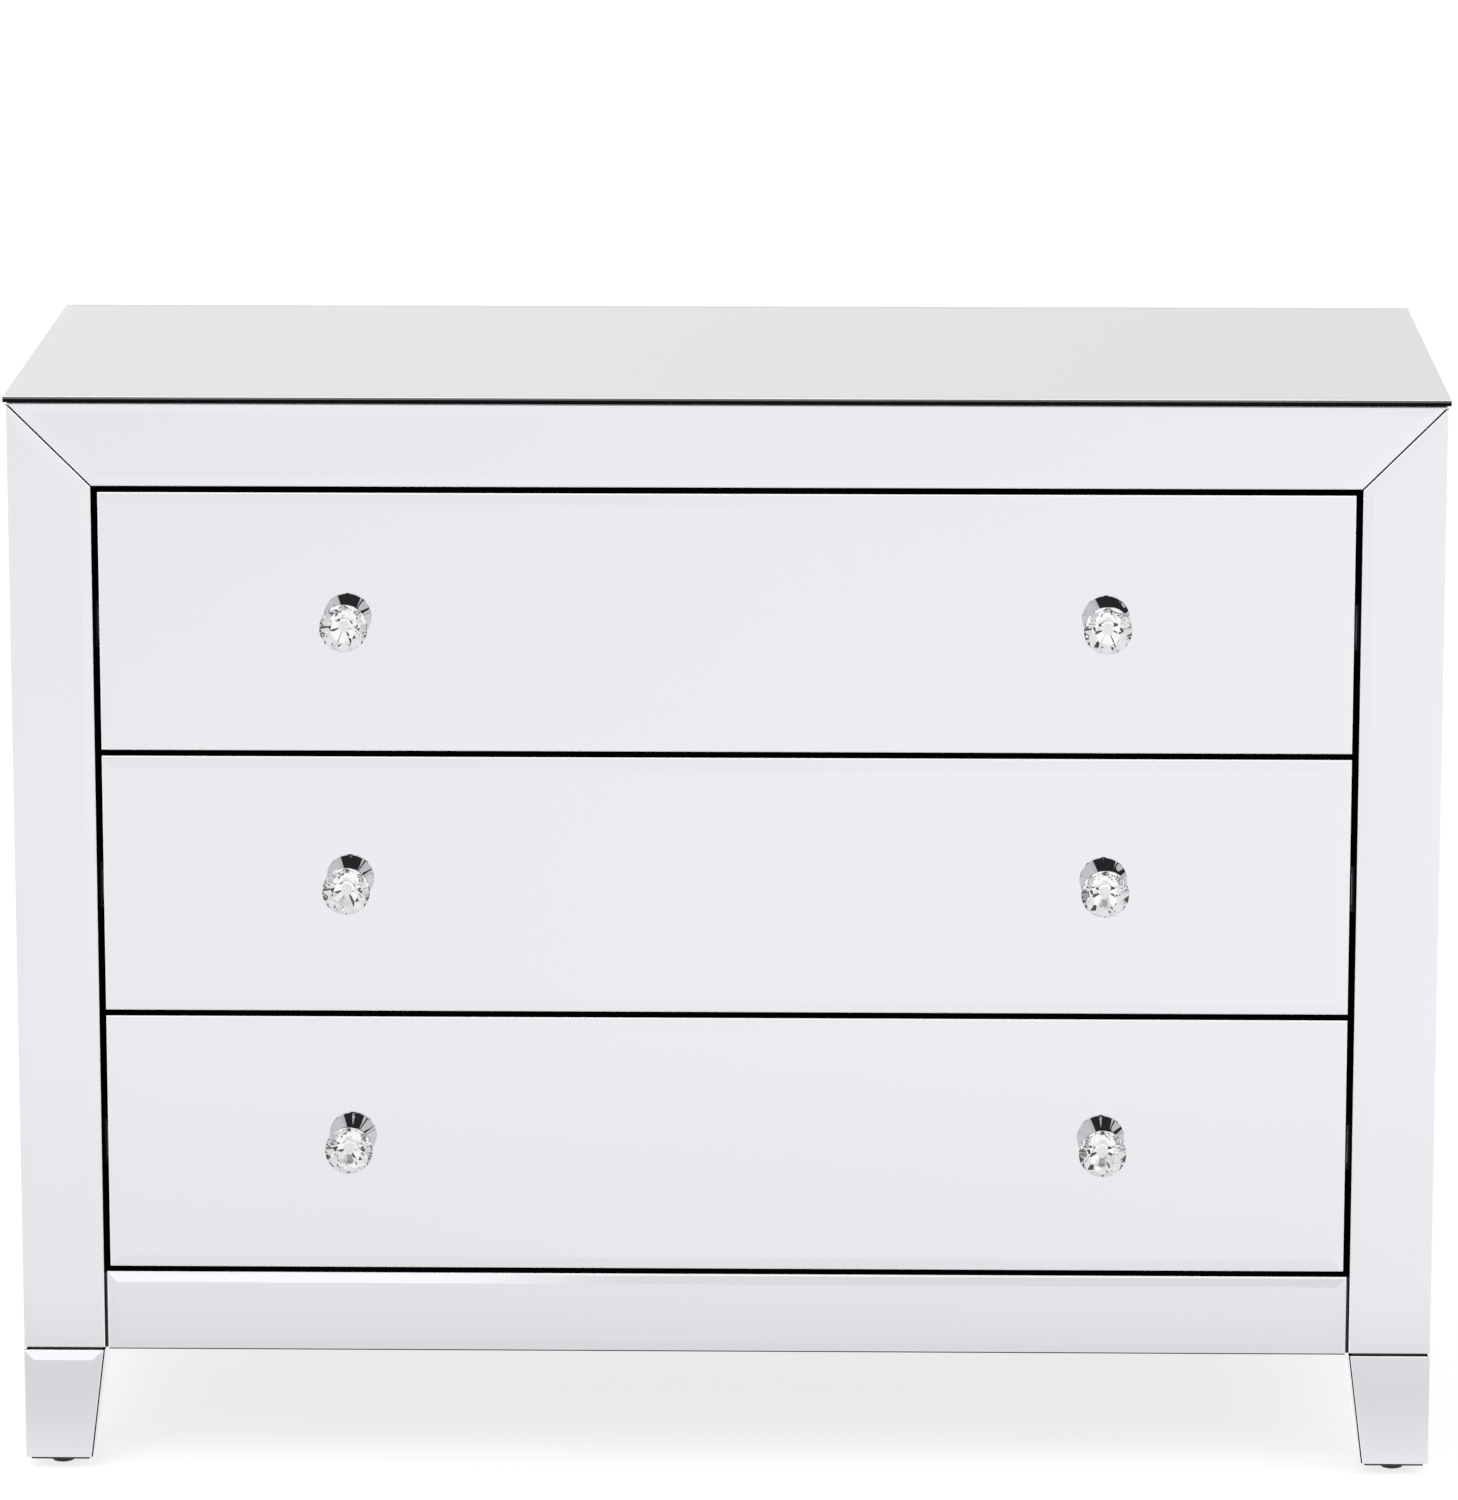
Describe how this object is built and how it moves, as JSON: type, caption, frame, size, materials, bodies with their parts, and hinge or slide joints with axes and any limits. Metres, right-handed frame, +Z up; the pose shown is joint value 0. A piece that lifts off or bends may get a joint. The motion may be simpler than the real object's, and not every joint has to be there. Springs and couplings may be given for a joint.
{
  "type": "mirrored chest of drawers",
  "caption": "Chest of drawers clad in bevelled mirror, with mitred frame, tapered mirrored feet, crystal knobs on chrome cups and ball-bearing slides.",
  "frame": {"origin": "on the floor, at the middle of the object's width and depth, crystals included", "axes": "+X across the chest to the right as seen from the front, +Y from the front to the back, +Z up"},
  "size_m": [1.053, 0.4798, 0.815],
  "materials": {
    "mirror": "bevelled silvered glass",
    "black_board": "fibreboard, painted satin black",
    "foot": "painted core with bevelled mirror faces",
    "drawer_board": "dark laminated board",
    "slide_steel": "zinc plated",
    "chrome": "polished",
    "crystal": "brilliant-cut, clear"
  },
  "bodies": {
    "carcass": {"top_mirror": "mirror", "top_rail_mirror": "mirror", "bottom_rail_mirror": "mirror", "stile_mirror_left": "mirror", "stile_mirror_right": "mirror", "side_mirror_left": "mirror", "side_mirror_right": "mirror", "sub_top": "black_board", "side_left": "black_board", "side_right": "black_board", "top_rail": "black_board", "bottom_rail": "black_board", "bottom_board": "black_board", "back_board": "black_board", "foot_front_left": "foot", "foot_front_right": "foot", "foot_rear_left": "foot", "foot_rear_right": "foot", "slide_fixed_lower_left": "slide_steel", "slide_fixed_lower_right": "slide_steel", "slide_fixed_middle_left": "slide_steel", "slide_fixed_middle_right": "slide_steel", "slide_fixed_upper_left": "slide_steel", "slide_fixed_upper_right": "slide_steel"},
    "drawer_lower": {"drawer_lower_mirror": "mirror", "drawer_lower_front": "black_board", "drawer_lower_side_left": "drawer_board", "drawer_lower_side_right": "drawer_board", "drawer_lower_back": "drawer_board", "drawer_lower_base": "drawer_board", "slide_moving_lower_left": "slide_steel", "slide_moving_lower_right": "slide_steel", "knob_cup_lower_left": "chrome", "knob_cup_lower_right": "chrome", "knob_crystal_lower_left": "crystal", "knob_crystal_lower_right": "crystal"},
    "drawer_middle": {"drawer_middle_mirror": "mirror", "drawer_middle_front": "black_board", "drawer_middle_side_left": "drawer_board", "drawer_middle_side_right": "drawer_board", "drawer_middle_back": "drawer_board", "drawer_middle_base": "drawer_board", "slide_moving_middle_left": "slide_steel", "slide_moving_middle_right": "slide_steel", "knob_cup_middle_left": "chrome", "knob_cup_middle_right": "chrome", "knob_crystal_middle_left": "crystal", "knob_crystal_middle_right": "crystal"},
    "drawer_upper": {"drawer_upper_mirror": "mirror", "drawer_upper_front": "black_board", "drawer_upper_side_left": "drawer_board", "drawer_upper_side_right": "drawer_board", "drawer_upper_back": "drawer_board", "drawer_upper_base": "drawer_board", "slide_moving_upper_left": "slide_steel", "slide_moving_upper_right": "slide_steel", "knob_cup_upper_left": "chrome", "knob_cup_upper_right": "chrome", "knob_crystal_upper_left": "crystal", "knob_crystal_upper_right": "crystal"}
  },
  "joints": [
    {"name": "lower_drawer_slide", "type": "slide", "parent": "carcass", "child": "drawer_lower", "axis": [0, -1, 0], "range_m": [0, 0.3]},
    {"name": "middle_drawer_slide", "type": "slide", "parent": "carcass", "child": "drawer_middle", "axis": [0, -1, 0], "range_m": [0, 0.3]},
    {"name": "upper_drawer_slide", "type": "slide", "parent": "carcass", "child": "drawer_upper", "axis": [0, -1, 0], "range_m": [0, 0.3]}
  ]
}
